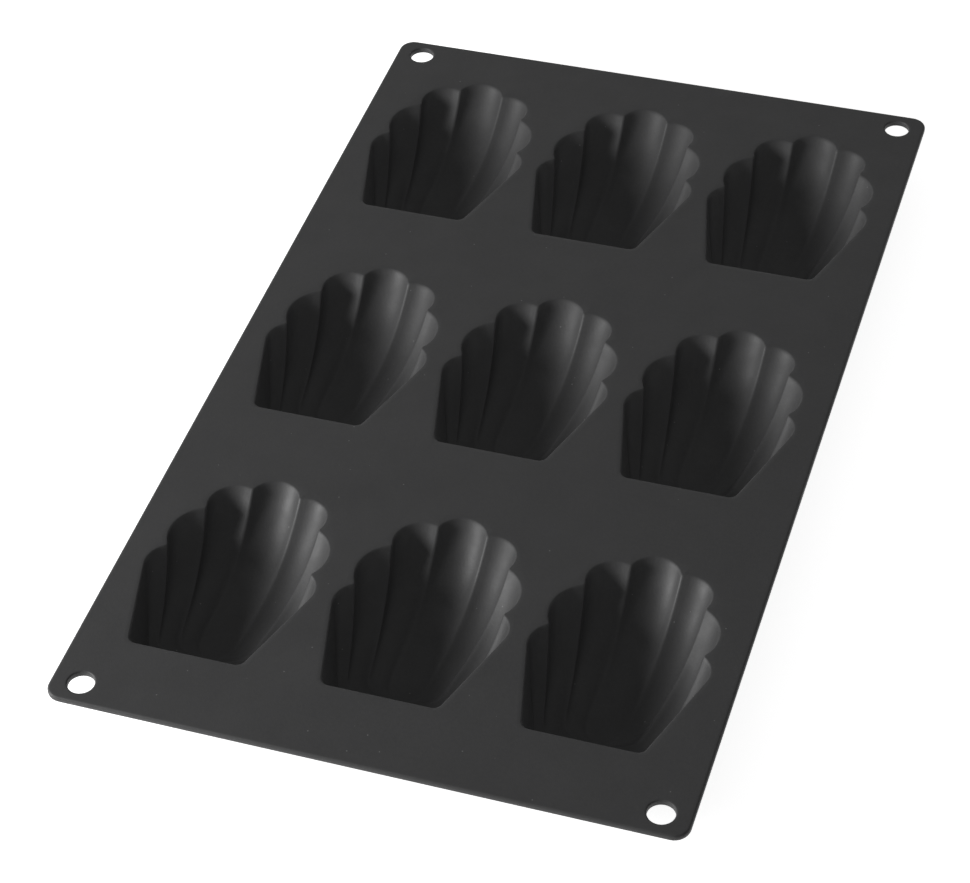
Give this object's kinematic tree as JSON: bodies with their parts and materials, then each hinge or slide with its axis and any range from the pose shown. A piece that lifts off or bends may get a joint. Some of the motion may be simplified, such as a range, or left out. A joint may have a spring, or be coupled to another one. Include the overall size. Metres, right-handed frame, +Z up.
{
  "type": "madeleine mould",
  "caption": "Flat flexible baking mould sheet with fluted shell-shaped cups hanging below it and a round hole in each corner.",
  "frame": {"origin": "middle of the sheet in plan, on the surface that the cups stand on", "axes": "+X across the sheet, +Y along it towards the fluted ends of the shells, +Z up, out of the open side of the cups"},
  "size_m": [0.175, 0.3, 0.019],
  "materials": {
    "silicone": "satin, soft dark grey silicone"
  },
  "bodies": {
    "root": {"sheet": "silicone", "cups": "silicone"}
  },
  "joints": []
}
